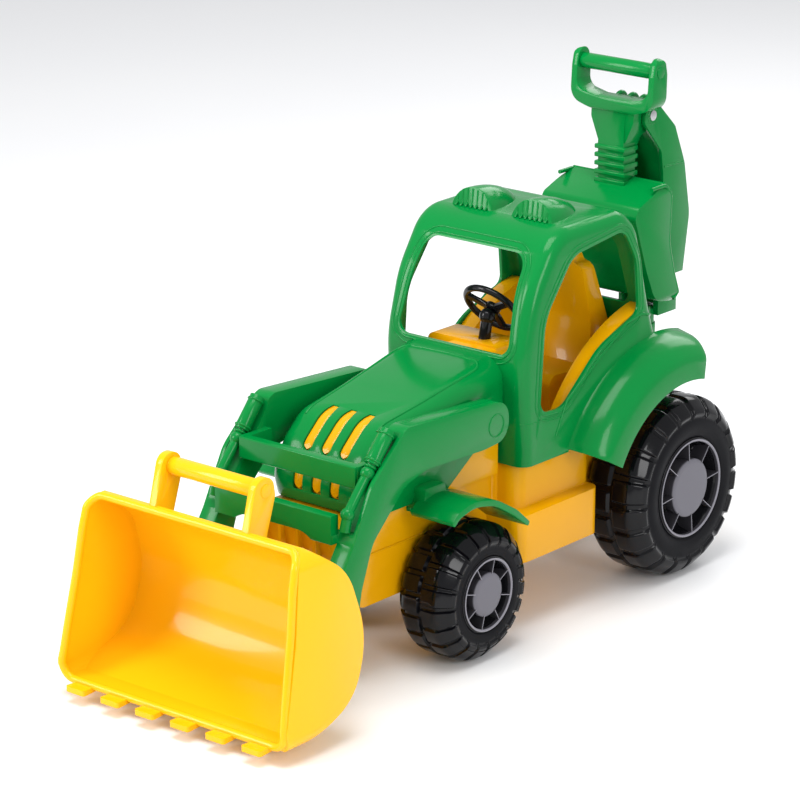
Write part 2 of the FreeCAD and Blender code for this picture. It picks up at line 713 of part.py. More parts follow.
def make_dipper():
    """Neck, pivot block and the frame of the D handle, in one moulding."""
    neck = prism("dipper_neck", "side",
                 [(15, 289), (14, 322, 10), (16, 352), (28, 352), (35, 350, 4), (39, 343, 5), (39, 330, 6),
                  (30, 318, 10), (29, 295)], -12, 12)
    block_side = prism("dipper_block_side", "side",
                  [(15, 324), (16, 353), (28, 352.5), (35, 350.5, 4), (40.6, 344, 6), (41, 334, 7),
                   (28, 322)],
                  -20, 20)
    block = common("dipper_block", [
        block_side,
        prism("dipper_block_front", "front", mirrored([(12, 322), (20, 341, 6), (20, 360)]),
              0, 50),
    ])
    ribs = [
        prism(f"neck_rib_{index}", "side", rectangle(12.5, 291 + 6.5 * index, 30, 294.5 +
                                                   6.5 * index, 1), -14, 14)
        for index in range(5)
    ]
    half = size("rear_grip_half_width")
    outer = prism("handle_outer", "front",
                  mirrored([(18, 347, 4), (half, 353, 12), (half, 391, 4)]), 8, 40)
    inner = prism("handle_gap", "front",
                  mirrored([(16, 357, 6), (half - 5, 361, 9), (half - 5, 410)]), 0, 50)
    profile = prism("handle_profile", "side",
                    [(13, 347, 2), (31, 347, 2), (32, 378, 8), (29, 391.5, 8), (18, 391.5, 8),
                     (15, 378, 8)], -50, 50)
    handle = common("handle", [cut("handle_loop", outer, [inner]), profile])
    bores = [scoop_outer("scoop_seat")]
    for side, start in (("left", 20.2), ("right", -25)):
        bores.append(rod(f"cheek_relief_{side}", 10.8, (1, 0, 0),
                         (start, "Sizes.dipper_pin_y", "Sizes.dipper_pin_height"), 4.8))
    bores += [
        rod("dipper_bore", "4 + Sizes.running_gap", (1, 0, 0),
            (-30, "Sizes.dipper_pin_y", "Sizes.dipper_pin_height"), 60),
        rod("handle_bore", 4.5, (1, 0, 0),
            (-60, "Sizes.rear_grip_y", "Sizes.rear_grip_height"), 120),
    ]
    return cut("dipper_arm", fuse("dipper_solid", [neck, block, handle] + ribs), bores)


SCOOP_SIDE = [
    (-10, 283, 6), (25, 296, 3), (33, 291, 4), (31, 246, 40), (38, 224, 16), (46, 206, 3),
    (38, 201, 4), (14, 206, 16), (2, 232, 60), (-14, 276, 6),
]


def scoop_outer(name):
    half = size("scoop_half_width")
    return common(name, [
        prism(name + "_side", "side", SCOOP_SIDE, -half, half),
        prism(name + "_front", "front", rectangle(-half, 199, half, 297, 9), -30, 60),
    ])


def make_rear_bucket():
    half = size("scoop_half_width")
    room_side = [(-7, 281), (20, 290.5), (60, 290.5), (60, 205), (36, 204.5), (17, 209, 12),
                 (5, 233, 60), (-10.5, 276)]
    inner = common("scoop_room", [
        prism("scoop_room_side", "side", room_side, -(half - 2.5), half - 2.5),
        prism("scoop_room_front", "front", rectangle(2.5 - half, 204, half - 2.5, 291, 7),
              -30, 70),
    ])
    return cut("rear_bucket", scoop_outer("scoop_block"), [inner])


def make_rear_grip():
    start = ("Sizes.rear_grip_y", "Sizes.rear_grip_height")
    return fuse("rear_grip_bar", [
        rod("rear_bar", 6, (1, 0, 0), ("-Sizes.rear_grip_half_width + 5",) + start,
            "2 * (Sizes.rear_grip_half_width - 5)"),
        rod("rear_spigot", 4.5, (1, 0, 0), ("-Sizes.rear_grip_half_width - 0.6",) + start,
            "2 * Sizes.rear_grip_half_width + 1.2"),
    ])


# ---- wheels -----------------------------------------------------------------------------

def revolved_body(name, section):
    """A body turned about its own X axis from a section in distance along X and radius."""
    body = new_body(name)
    turned = body.newObject("PartDesign::Revolution", name + "_turned")
    turned.Profile = body_sketch(body, name + "_section", "XY_Plane", section)
    turned.ReferenceAxis = (plane_of(body, "X_Axis"), [""])
    turned.Angle = 360
    return body


def make_wheel(corner, side, radius, rim, face, axle_y):
    """A tyre, the hub that turns on the axle, and the spoked cap, as three nodes."""
    inside = size("wheel_inside")

    def sided(points):
        return [(side * point[0],) + tuple(point[1:]) for point in points]

    tread_end = face - 3.4
    tyre = revolved_body(f"{corner}_tyre", sided([
        (inside, rim), (inside, radius - 7, 6), (inside + 7, radius, 5), (tread_end - 8, radius, 6),
        (tread_end, radius - 9, 7), (face, rim + 6, 4), (face, rim),
    ]))
    web = face - 15
    hub = revolved_body(f"{corner}_hub", sided([
        (inside, size("axle_radius") + size("running_gap")), (inside, 9), (web - 3, 9),
        (web - 3, rim - 3), (inside + 2, rim - 3), (inside + 2, rim), (face - 2, rim),
        (face - 2, rim - 3), (web, rim - 3), (web, size("axle_radius") + size("running_gap")),
    ]))
    disc = 0.58 * rim
    cap = revolved_body(f"{corner}_cap", sided([
        (face - 4, 0), (face - 1, 0), (face - 1, disc, 1), (face - 4, disc), (face - 4, disc - 2),
        (web, disc - 2), (web, disc - 4), (face - 4, disc - 4),
    ]))
    ring = cap.newObject("PartDesign::Revolution", f"{corner}_cap_ring")
    ring.Profile = body_sketch(cap, f"{corner}_ring_section", "XY_Plane", sided([
        (face - 3, rim - 3), (face - 0.2, rim - 3), (face - 0.2, rim - 4.6), (face - 3, rim - 4.6),
    ]))
    ring.ReferenceAxis = (plane_of(cap, "X_Axis"), [""])
    ring.Angle = 360
    spoke = cap.newObject("PartDesign::Pad", f"{corner}_spoke")
    near, far = sorted((side * (face - 3.6), side * (face - 1.2)))
    spoke.Profile = body_sketch(cap, f"{corner}_spoke_plan", "XY_Plane",
                                rectangle(near, disc - 2, far, rim - 3.6))
    spoke.Midplane = True
    spoke.Length = 1.4
    spokes = cap.newObject("PartDesign::PolarPattern", f"{corner}_spokes")
    spokes.Originals = [spoke]
    spokes.Axis = (plane_of(cap, "X_Axis"), [""])
    spokes.Angle = 360
    spokes.Occurrences = 8
    cap.Tip = spokes
    axle_height = "Sizes.rear_radius" if axle_y == "0" else "Sizes.front_radius"
    for node, body in (("tyre", tyre), ("hub", hub), ("cap", cap)):
        keep(f"{corner}_{node}", body, f"Sizes.rear_axle_y + {axle_y}", axle_height)


def make_axle(end, face, axle_y, height):
    """The steel rod, and the two push caps that keep the wheels on it."""
    length = face - 11
    axle = rod(f"{end}_axle", "Sizes.axle_radius", (1, 0, 0), (-length, axle_y, height),
               2 * length)
    caps = []
    for side in (-1, 1):
        start, stop = sorted((side * (face - 14.6), side * (face - 11)))
        washer = rod(f"{end}_push_cap_{side + 1}", 6, (1, 0, 0), (start, axle_y, height),
                     stop - start)
        bore = rod(f"{end}_push_bore_{side + 1}", "Sizes.axle_radius", (1, 0, 0),
                   (start, axle_y, height), stop - start)
        caps.append(cut(f"{end}_push_cap_ring_{side + 1}", washer, [bore]))
    keep(f"{end}_axle", axle, f"Sizes.rear_axle_y + {axle_y}", height)
    keep(f"{end}_axle_caps", group(f"{end}_axle_caps", caps))


def make_pins(name, radius, spans, place):
    pins = [
        rod(f"{name}_{index}", radius, (1, 0, 0), (start,) + place, end - start)
        for index, (start, end) in enumerate(spans)
    ]
    return pins[0] if len(pins) == 1 else group(name, pins)


# ---- the whole toy ----------------------------------------------------------------------

keep("chassis", make_chassis())
keep("hood", make_hood())
keep("grille_insert", make_grille_insert())
keep("cab_shell", make_cab_shell())
keep("cab_interior", make_cab_interior())
keep("front_fender_left", make_front_fender(1, "front_fender_left"))
keep("front_fender_right", make_front_fender(-1, "front_fender_right"))
keep("rear_bracket", make_rear_bracket())
keep("steering_column", make_steering_column())
keep("steering_wheel", make_steering_wheel(), "Sizes.rear_axle_y + Sizes.steering_y",
     "Sizes.steering_height")

pivot = ("Sizes.pivot_y", "Sizes.pivot_height")
bucket_pin = ("Sizes.bucket_pin_y", "Sizes.bucket_pin_height")
boom_pin = ("Sizes.boom_pin_y", "Sizes.boom_pin_height")
dipper_pin = ("Sizes.dipper_pin_y", "Sizes.dipper_pin_height")
rod_end = size("arm_outside") - 3.6
keep("loader_pivot_rod", make_pins("loader_pivot_rod", "Sizes.pivot_radius",
                                   [(-rod_end, rod_end)], pivot),
     "Sizes.rear_axle_y + Sizes.pivot_y", "Sizes.pivot_height")
keep("loader_frame", make_loader_frame())
keep("lift_cylinder_left", make_ram(1, "lift_cylinder_left"))
keep("lift_cylinder_right", make_ram(-1, "lift_cylinder_right"))
keep("bucket_pins", make_pins("bucket_pins", 3, [(45, 67), (-67, -45)], bucket_pin))
keep("bucket_shell", make_bucket_shell())
keep("bucket_grip_bar", make_bucket_grip())
keep("swing_post", make_swing_post())
keep("swing_pin", make_swing_pin())
keep("boom_pin", make_pins("boom_pin", 3.5, [(-20, 20)], boom_pin),
     "Sizes.rear_axle_y + Sizes.boom_pin_y", "Sizes.boom_pin_height")
keep("boom", make_boom())
keep("dipper_pin", make_pins("dipper_pin", 4, [(-24.6, 24.6)], dipper_pin),
     "Sizes.rear_axle_y + Sizes.dipper_pin_y", "Sizes.dipper_pin_height")
keep("dipper_arm", make_dipper())
keep("rear_bucket", make_rear_bucket())
keep("rear_grip_bar", make_rear_grip())

for end, rim, face, axle_y in (
    ("front", "front_rim", "front_outside", "-Sizes.wheelbase"),
    ("rear", "rear_rim", "rear_outside", "0"),
):
    radius = size(f"{end}_radius")
    make_axle(end, size(face), axle_y, f"Sizes.{end}_radius")
    for side, name in ((1, "left"), (-1, "right")):
        make_wheel(f"{end}_{name}", side, radius, size(rim), size(face), axle_y)

doc.recompute()

# ---- check and write --------------------------------------------------------------------

for item in doc.Objects:
    if "Invalid" in item.State or "Error" in item.State:
        raise RuntimeError(f"{item.Label} failed: {item.State}")
os.makedirs("parts", exist_ok=True)
for piece in pieces:
    shape = piece.Shape
    if shape.isNull() or not shape.isValid() or not shape.Solids:
        raise RuntimeError(f"{piece.Label} has no valid solid")
    shape.exportStep(f"parts/{piece.Label}.step")
    box = shape.BoundBox
    print(f"{piece.Label:22} solids {len(shape.Solids)} {shape.Volume / 1000:8.1f} cm3  "
          f"x {box.XMin:.1f} {box.XMax:.1f}  y {box.YMin:.1f} {box.YMax:.1f}  "
          f"z {box.ZMin:.1f} {box.ZMax:.1f}")
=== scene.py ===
# Toy loader tractor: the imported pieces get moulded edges, finer shapes and their plastics.
import json
import math

import bmesh
import bpy
from mathutils import Matrix, Vector
from mathutils.bvhtree import BVHTree


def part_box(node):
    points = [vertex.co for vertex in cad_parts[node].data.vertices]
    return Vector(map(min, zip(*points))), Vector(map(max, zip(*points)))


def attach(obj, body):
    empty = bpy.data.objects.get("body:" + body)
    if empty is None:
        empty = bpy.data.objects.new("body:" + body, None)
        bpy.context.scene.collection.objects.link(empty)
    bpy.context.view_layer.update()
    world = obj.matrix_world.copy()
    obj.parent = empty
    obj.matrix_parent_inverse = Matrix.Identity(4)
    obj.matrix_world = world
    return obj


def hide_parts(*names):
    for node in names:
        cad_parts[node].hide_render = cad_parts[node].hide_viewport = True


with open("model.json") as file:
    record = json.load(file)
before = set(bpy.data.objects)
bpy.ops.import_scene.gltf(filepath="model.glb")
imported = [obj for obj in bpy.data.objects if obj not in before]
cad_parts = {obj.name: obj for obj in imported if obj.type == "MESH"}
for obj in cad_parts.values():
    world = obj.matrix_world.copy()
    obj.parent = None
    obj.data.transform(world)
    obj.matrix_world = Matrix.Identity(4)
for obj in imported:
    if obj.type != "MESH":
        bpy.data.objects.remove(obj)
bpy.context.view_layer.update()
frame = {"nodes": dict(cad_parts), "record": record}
print("frame loaded:", len(frame["nodes"]), "nodes")

rearAxleLow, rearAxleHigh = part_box("rear_axle")
rearAxleY = (rearAxleLow.y + rearAxleHigh.y) / 2
mm = 0.001


def place(x, y, z):  # millimetres from the ground under the rear axle
    return Vector((x * mm, rearAxleY + y * mm, z * mm))


# camera, lights and floor

camera = {"at": (1.5908, -1.9381, 0.9664), "azimuth": 39.86, "elevation": 17.61, "roll": 0.07,
          "lens": 162.6}


def makeCamera(spec):
    data = bpy.data.cameras.new("camera")
    data.lens = spec["lens"]
    data.sensor_width = 36
    data.clip_start, data.clip_end = 0.05, 50
    item = bpy.data.objects.new("camera", data)
    bpy.context.scene.collection.objects.link(item)
    turn, rise = math.radians(spec["azimuth"]), math.radians(spec["elevation"])
    level = math.cos(rise)
    back = Vector((math.sin(turn) * level, -math.cos(turn) * level, math.sin(rise)))
    item.location = spec["at"]
    item.rotation_mode = "QUATERNION"
    roll = Matrix.Rotation(math.radians(spec["roll"]), 4, "Z").to_quaternion()
    item.rotation_quaternion = (-back).to_track_quat("-Z", "Y") @ roll
    bpy.context.scene.camera = item


# shader maths

class Wire:  # a socket whose maths adds nodes to its tree
    def __init__(self, tree, socket):
        self.tree, self.socket = tree, socket

    def maths(self, operation, other, swap=False):
        node = self.tree.nodes.new("ShaderNodeMath")
        node.operation = operation
        for index, value in enumerate((other, self) if swap else (self, other)):
            if isinstance(value, Wire):
                self.tree.links.new(value.socket, node.inputs[index])
            else:
                node.inputs[index].default_value = value
        return Wire(self.tree, node.outputs[0])

    def __add__(self, other):
        return self.maths("ADD", other)

    def __sub__(self, other):
        return self.maths("SUBTRACT", other)

    def __mul__(self, other):
        return self.maths("MULTIPLY", other)

    def __rsub__(self, other):
        return self.maths("SUBTRACT", other, swap=True)

    __radd__ = __add__
    __rmul__ = __mul__


class Finish:  # one material; add() makes any node from its settings and socket values
    def __init__(self, name):
        self.material = bpy.data.materials.new(name)
        self.material.use_nodes = True
        self.tree = self.material.node_tree
        self.tree.nodes.clear()

    def add(self, kind, settings=None, output=0, **sockets):
        node = self.tree.nodes.new("ShaderNode" + kind)
        for key, value in (settings or {}).items():
            if key == "stops":
                ramp = node.color_ramp
                while len(ramp.elements) < len(value):
                    ramp.elements.new(0.5)
                for element, (spot, shade) in zip(ramp.elements, value):
                    element.position = spot
                    element.color = shade if len(shade) == 4 else (*shade, 1)
            else:
                setattr(node, key, value)
        for key, value in sockets.items():
            name = key.replace("_", " ")
            socket = next(item for item in node.inputs if item.name == name and item.enabled)
            if isinstance(value, Wire):
                self.tree.links.new(value.socket, socket)
            else:
                socket.default_value = value
        return Wire(self.tree, node.outputs[output])

    def surface(self, **sockets):
        shader = self.add("BsdfPrincipled", **sockets)
        out = self.tree.nodes.new("ShaderNodeOutputMaterial")
        self.tree.links.new(shader.socket, out.inputs["Surface"])
        return self.material


def plastic(name, base, deep, roughness=0.22, coat=0.2, grain=0.05, rise=0.00005):
    # slow flow marks in the colour, fine orange peel and patchy gloss
    made = Finish(name)
    spot = made.add("TexCoord", output=3)
    flow = made.add("TexNoise", Vector=spot, Scale=9, Detail=3, Roughness=0.55, Distortion=0.8)
    cloud = made.add("TexNoise", Vector=spot, Scale=60, Detail=4, Roughness=0.6)
    peel = made.add("TexNoise", Vector=spot, Scale=700, Detail=2, Roughness=0.5)
    shade = made.add("Mix", {"data_type": "RGBA"}, output=2, Factor=flow * 0.7 + cloud * 0.2,
                     A=(*base, 1), B=(*deep, 1))
    normal = made.add("Bump", Strength=0.22, Distance=rise, Height=peel * 0.7 + cloud * 1.5)
    return made.surface(Base_Color=shade, Roughness=roughness + (cloud - 0.5) * grain * 2
                        + (peel - 0.5) * grain,
                        Normal=normal, Coat_Weight=coat, Coat_Roughness=0.06, IOR=1.42,
                        Specular_IOR_Level=0.2)


def tyrePlastic(name):
    # glossy on the pads, satin on the flanks; the "tread" attribute says which
    made = Finish(name)
    spot = made.add("TexCoord", output=3)
    tread = made.add("Attribute", {"attribute_name": "tread"}, output=2)
    cloud = made.add("TexNoise", Vector=spot, Scale=45, Detail=4, Roughness=0.6)
    peel = made.add("TexNoise", Vector=spot, Scale=900, Detail=2, Roughness=0.6)
    shade = made.add("Mix", {"data_type": "RGBA"}, output=2, Factor=cloud * 0.6 + tread * 0.4,
                     A=(0.006, 0.006, 0.008, 1), B=(0.002, 0.002, 0.003, 1))
    normal = made.add("Bump", Strength=0.3, Distance=0.00006, Height=peel * (1.3 - tread) + cloud)
    return made.surface(Base_Color=shade, Roughness=0.52 - tread * 0.36 + (cloud - 0.5) * 0.12,
                        Normal=normal, Coat_Weight=tread * 0.3, Coat_Roughness=0.06, IOR=1.4,
                        Specular_IOR_Level=0.15)


def hubPlastic(name, shadow, light):
    # painted highlight on the faces that look along the axle and painted shade down the sides,
    # chosen by which way each face points
    made = Finish(name)
    spot = made.add("TexCoord", output=3)
    outwards = made.add("TexCoord", output=1)
    across = made.add("SeparateXYZ", output=0, Vector=outwards)
    facing = made.add("Math", {"operation": "ABSOLUTE"}, Value=across)
    cloud = made.add("TexNoise", Vector=spot, Scale=60, Detail=4, Roughness=0.6)
    # painted light: the shadow colour is painted shade down the sides, the light colour a painted
    # highlight on the faces looking along the axle
    shade = made.add("Mix", {"data_type": "RGBA"}, output=2, Factor=facing * 0.9,
                     A=(*shadow, 1), B=(*light, 1))
    return made.surface(Base_Color=shade, Roughness=0.34 + cloud * 0.08, Coat_Weight=0.1,
                        Coat_Roughness=0.1, IOR=1.42, Specular_IOR_Level=0.3)


def drawnSteel(name):
    made = Finish(name)
    spot = made.add("TexCoord", output=3)
    lines = made.add("Mapping", Vector=spot, Scale=(30, 900, 900))
    drawn = made.add("TexNoise", Vector=lines, Scale=1, Detail=3, Roughness=0.5)
    shade = made.add("Mix", {"data_type": "RGBA"}, output=2, Factor=drawn,
                     A=(0.42, 0.42, 0.43, 1), B=(0.66, 0.66, 0.67, 1))
    normal = made.add("Bump", Strength=0.2, Distance=0.00003, Height=drawn)
    return made.surface(Base_Color=shade, Metallic=1, Roughness=0.22 + drawn * 0.15, Normal=normal)


green = plastic("greenPlastic", (0.0, 0.228, 0.042), (0.0, 0.185, 0.032), roughness=0.2, coat=0.12)
lemon = plastic("bucketYellow", (0.98, 0.53, 0.005), (0.94, 0.47, 0.004), roughness=0.2)
amber = plastic("tubYellow", (0.80, 0.385, 0.001), (0.72, 0.32, 0.0), roughness=0.24, coat=0.25)
black = plastic("glossBlack", (0.010, 0.010, 0.012), (0.006, 0.006, 0.007), roughness=0.16)
# ribs, ring and hub disc: first colour is painted shade down the sides, second a painted highlight
# on the faces looking along the axle
ribGrey = hubPlastic("ribGrey", (0.022, 0.021, 0.025), (0.30, 0.29, 0.33))
grey = hubPlastic("hubGrey", (0.040, 0.038, 0.045), (0.155, 0.15, 0.175))
rubber = tyrePlastic("tyreBlack")
steel = drawnSteel("drawnSteel")
print("finishes made")

finishOf = {
    "green_plastic": green, "yellow_plastic": amber, "tyre_plastic": rubber,
    "black_plastic": black, "grey_plastic": grey, "steel": steel,
}
bodyOf = {node: body for body, nodes in frame["record"]["behaviour"]["bodies"].items()
          for node in nodes}


# shaping tools

def rounded(points, steps=7):  # (a, b) or (a, b, radius) corners to a closed run of points
    run = []
    count = len(points)
    for index, corner in enumerate(points):
        here = Vector(corner[:2])
        radius = corner[2] if len(corner) > 2 else 0
        if radius <= 0:
            run.append(here)
            continue
        back = (Vector(points[index - 1][:2]) - here).normalized()
        ahead = (Vector(points[(index + 1) % count][:2]) - here).normalized()
        half = back.angle(ahead) / 2
        centre = here + (back + ahead).normalized() * (radius / math.sin(half))
        first = here + back * (radius / math.tan(half)) - centre
        last = here + ahead * (radius / math.tan(half)) - centre
        sweep = first.angle_signed(last)
        for step in range(steps + 1):
            turn = Matrix.Rotation(-sweep * step / steps, 2)
            run.append(centre + turn @ first)
    return run


def tube(points, radius, closed=False, sides=10):  # a bead along points in metres
    mesh = bmesh.new()
    count = len(points)
    rings = []
    side = None
    for index, point in enumerate(points):
        before = points[index - 1] if closed or index else point
        after = points[(index + 1) % count] if closed or index < count - 1 else point
        along = (after - before).normalized()
        if side is None:
            side = along.orthogonal().normalized()
        side = (side - along * side.dot(along)).normalized()
        up = along.cross(side)
        rings.append([mesh.verts.new(point + (side * math.cos(turn) + up * math.sin(turn))
                                     * radius)
                      for turn in (2 * math.pi * step / sides for step in range(sides))])
    pairs = list(zip(rings, rings[1:]))
    if closed:
        first, last = rings[0], rings[-1]
        shift = min(range(sides), key=lambda s: (first[s].co - last[0].co).length)
        pairs.append((last, first[shift:] + first[:shift]))
    else:
        mesh.faces.new(rings[0])
        mesh.faces.new(rings[-1])
    for lower, upper in pairs:
        for step in range(sides):
            after = (step + 1) % sides
            mesh.faces.new((lower[step], lower[after], upper[after], upper[step]))
    bmesh.ops.recalc_face_normals(mesh, faces=mesh.faces)
    return mesh


def lathe(profile, centre, steps=96):  # a closed (x, radius) run in millimetres, turned about X
    mesh = bmesh.new()
    rings = []
    for step in range(steps):
        turn = 2 * math.pi * step / steps
        rings.append([mesh.verts.new(centre + Vector((x, r * math.cos(turn), r * math.sin(turn)))
                                     * mm) for x, r in profile])
    for index, ring in enumerate(rings):
        after = rings[(index + 1) % steps]
        for low in range(len(profile)):
            high = (low + 1) % len(profile)
            mesh.faces.new((ring[low], ring[high], after[high], after[low]))
    bmesh.ops.remove_doubles(mesh, verts=mesh.verts, dist=1e-7)
    bmesh.ops.dissolve_degenerate(mesh, edges=mesh.edges, dist=1e-8)
    bmesh.ops.recalc_face_normals(mesh, faces=mesh.faces)
    return mesh


def objectFrom(name, mesh):
    data = bpy.data.meshes.new(name)
    mesh.to_mesh(data)
    mesh.free()
    item = bpy.data.objects.new(name, data)
    bpy.context.scene.collection.objects.link(item)
    return item


def joined(meshes):
    whole = bmesh.new()
    for mesh in meshes:
        data = bpy.data.meshes.new("part")
        mesh.to_mesh(data)
        whole.from_mesh(data)
        bpy.data.meshes.remove(data)
        mesh.free()
    return whole


def settle(item):  # applies every modifier and leaves a plain mesh
    bpy.context.view_layer.update()
    graph = bpy.context.evaluated_depsgraph_get()
    data = bpy.data.meshes.new_from_object(item.evaluated_get(graph), preserve_all_data_layers=True,
                                           depsgraph=graph)
    item.modifiers.clear()
    item.data = data
    return item


def smooth(item, crease=38):
    mesh = bmesh.new()
    mesh.from_mesh(item.data)
    for edge in mesh.edges:
        edge.smooth = edge.calc_face_angle(0) < math.radians(crease)
    for face in mesh.faces:
        face.smooth = True
    mesh.to_mesh(item.data)
    mesh.free()


def finish(item, material, body, slotName, *nodes):
    item.data.materials.clear()
    item.data.materials.append(material)
    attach(item, body)
    if nodes:
        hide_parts(*nodes)
    return item


sharpAngle = 32  # edges that turn more than this are rounded


def moulded(node, material, slotName, edge):  # a copy of the node with rounded edges
    mesh = bmesh.new()
    mesh.from_mesh(frame["nodes"][node].data)
    bmesh.ops.remove_doubles(mesh, verts=mesh.verts, dist=2e-6)
    bmesh.ops.dissolve_degenerate(mesh, edges=mesh.edges, dist=1e-6)
    bmesh.ops.dissolve_limit(mesh, angle_limit=math.radians(0.4), verts=mesh.verts,
                             edges=mesh.edges)
    item = objectFrom(f"{node}.moulded", mesh)
    change = item.modifiers.new("edges", "BEVEL")
    change.width = edge * mm
    change.segments = 2
    change.limit_method = "ANGLE"
    change.angle_limit = math.radians(sharpAngle)
    change.harden_normals = False
    change.use_clamp_overlap = True
    settle(item)
    smooth(item)
    return finish(item, material, bodyOf[node], slotName, node)


# wheels: padded tyre, dished hub, ribs, ring and disc

wheel = {"pads": 20, "padRise": 2.3, "gap": 0.16, "ribs": 8, "steps": 640}
wheelSizes = {
    "front": {"radius": 51.2, "rim": 28.5, "face": 88.0, "y": -240, "turn": 15.5},
    "rear": {"radius": 70.0, "rim": 39.5, "face": 93.5, "y": 0, "turn": -5.5},
}
wheelInside = 42.6


def ease(value):
    value = max(0.0, min(1.0, value))
    return value * value * (3 - 2 * value)


def tyreMesh(spec, side):
    radius, rim, face = spec["radius"], spec["rim"], spec["face"]
    rise = wheel["padRise"]
    low = radius - rise
    width = face - wheelInside
    middle = wheelInside + width * 0.47
    profile = rounded([
        (wheelInside, rim + 0.4), (wheelInside, low - 6, 5), (wheelInside + 7, low, 6),
        (face - 11, low, 7), (face - 3.2, low - 8, 9), (face, rim + 9, 16),
        (face - 1.4, rim + 2.2, 2), (face - 2.4, rim + 0.4),
    ], steps=5)
    fine = []
    for index, here in enumerate(profile[:-1]):
        after = profile[index + 1]
        parts = max(1, round((after - here).length / 1.1))
        fine += [here.lerp(after, part / parts) for part in range(parts)]
    fine.append(profile[-1])
    normals = []
    for index, here in enumerate(fine):
        along = (fine[min(index + 1, len(fine) - 1)] - fine[max(index - 1, 0)]).normalized()
        normals.append(Vector((-along.y, along.x)))
    centre = place(0, spec["y"], 0) + Vector((0, 0, radius * mm))
    mesh = bmesh.new()
    tread = mesh.verts.layers.float.new("tread")
    rings = []
    for step in range(wheel["steps"]):
        turn = 2 * math.pi * step / wheel["steps"]
        ring = []
        for here, normal in zip(fine, normals):
            outer = here.x > middle
            phase = (turn * wheel["pads"] / (2 * math.pi) + (0 if outer else 0.5)) % 1
            reach = min(phase, 1 - phase) * 2  # 0 in the gap, 1 on the pad
            across = ease((reach - wheel["gap"]) / 0.16)
            groove = ease((abs(here.x - middle) - 1.1) / 1.1)
            if outer:
                bound = ease((here.y - (low - 12.5) + 2.6 * (1 - across)) / 1.8)
            else:
                bound = ease((here.y - (low - 8)) / 2)
            amount = across * groove * bound
            spot = here + normal * (rise * amount)
            vert = mesh.verts.new(centre + Vector((side * spot.x, spot.y * math.sin(turn),
                                                   spot.y * math.cos(turn))) * mm)
            vert[tread] = ease((here.y - (low - 14)) / 2) if outer else 1.0
            ring.append(vert)
        rings.append(ring)
    for index, ring in enumerate(rings):
        after = rings[(index + 1) % len(rings)]
        for spot in range(len(fine) - 1):
            mesh.faces.new((ring[spot], ring[spot + 1], after[spot + 1], after[spot]))
        mesh.faces.new((ring[-1], ring[0], after[0], after[-1]))
    bmesh.ops.recalc_face_normals(mesh, faces=mesh.faces)
    return mesh


def ribTree():
    # a rib mesh set round the wheel's axis
    tree = bpy.data.node_groups.new("ribs", "GeometryNodeTree")
    face = tree.interface
    face.new_socket("Geometry", in_out="INPUT", socket_type="NodeSocketGeometry")
    for label, kind in (("Count", "Int"), ("Radius", "Float"), ("Turn", "Float"),
                        ("Centre", "Vector"), ("Finish", "Material")):
        face.new_socket(label, in_out="INPUT", socket_type=f"NodeSocket{kind}")
    face.new_socket("Geometry", in_out="OUTPUT", socket_type="NodeSocketGeometry")
    nodes, links = tree.nodes, tree.links
    start = nodes.new("NodeGroupInput")
    circle = nodes.new("GeometryNodeMeshCircle")
    links.new(start.outputs["Count"], circle.inputs["Vertices"])
    links.new(start.outputs["Radius"], circle.inputs["Radius"])
    spot = nodes.new("GeometryNodeInputPosition")
    facing = nodes.new("FunctionNodeAlignEulerToVector")
    facing.axis = "X"
    facing.pivot_axis = "Z"
    links.new(spot.outputs[0], facing.inputs["Vector"])
    laid = nodes.new("GeometryNodeInstanceOnPoints")
    links.new(circle.outputs[0], laid.inputs["Points"])
    links.new(start.outputs["Geometry"], laid.inputs["Instance"])
    links.new(facing.outputs[0], laid.inputs["Rotation"])
    plain = nodes.new("GeometryNodeRealizeInstances")
    links.new(laid.outputs[0], plain.inputs[0])
    spun = nodes.new("GeometryNodeTransform")
    spin = nodes.new("ShaderNodeCombineXYZ")
    links.new(start.outputs["Turn"], spin.inputs["Z"])
    links.new(plain.outputs[0], spun.inputs["Geometry"])
    links.new(spin.outputs[0], spun.inputs["Rotation"])
    stood = nodes.new("GeometryNodeTransform")  # from the flat circle to the wheel's plane
    stood.inputs["Rotation"].default_value = (0, math.pi / 2, 0)
    links.new(spun.outputs[0], stood.inputs["Geometry"])
    links.new(start.outputs["Centre"], stood.inputs["Translation"])
    paint = nodes.new("GeometryNodeSetMaterial")
    links.new(stood.outputs[0], paint.inputs["Geometry"])
    links.new(start.outputs["Finish"], paint.inputs["Material"])
    end = nodes.new("NodeGroupOutput")
    links.new(paint.outputs[0], end.inputs[0])
    return tree


ribsGroup = ribTree()


def ribMesh(inner, outer, deep, side):
    # one fin in the circle's frame: radius along X, the wheel's axle along Z
    mesh = bmesh.new()
    rows = [(0.0, 0.55), (0.7, 0.75), (deep * 0.5, 1.05), (deep, 1.4)]
    span = (inner + outer) / 2
    loops = []
    for depth, thick in rows:
        for reach in (inner, outer):
            for across in (-thick / 2, thick / 2):
                loops.append(mesh.verts.new(Vector((reach - span, across, -side * depth)) * mm))
    count = len(rows)
    grid = [loops[index * 4:index * 4 + 4] for index in range(count)]
    for upper, lower in zip(grid, grid[1:]):
        for first, second in ((0, 1), (1, 3), (3, 2), (2, 0)):
            mesh.faces.new((upper[first], upper[second], lower[second], lower[first]))
    mesh.faces.new((grid[0][0], grid[0][2], grid[0][3], grid[0][1]))
    mesh.faces.new((grid[-1][0], grid[-1][1], grid[-1][3], grid[-1][2]))
    bmesh.ops.recalc_face_normals(mesh, faces=mesh.faces)
    return mesh, span


def setInputs(item, tree, values):
    change = item.modifiers.new(tree.name, "NODES")
    change.node_group = tree
    sockets = {entry.name: entry.identifier for entry in tree.interface.items_tree
               if entry.in_out == "INPUT"}
    for label, value in values.items():
        change[sockets[label]] = value
    return settle(item)


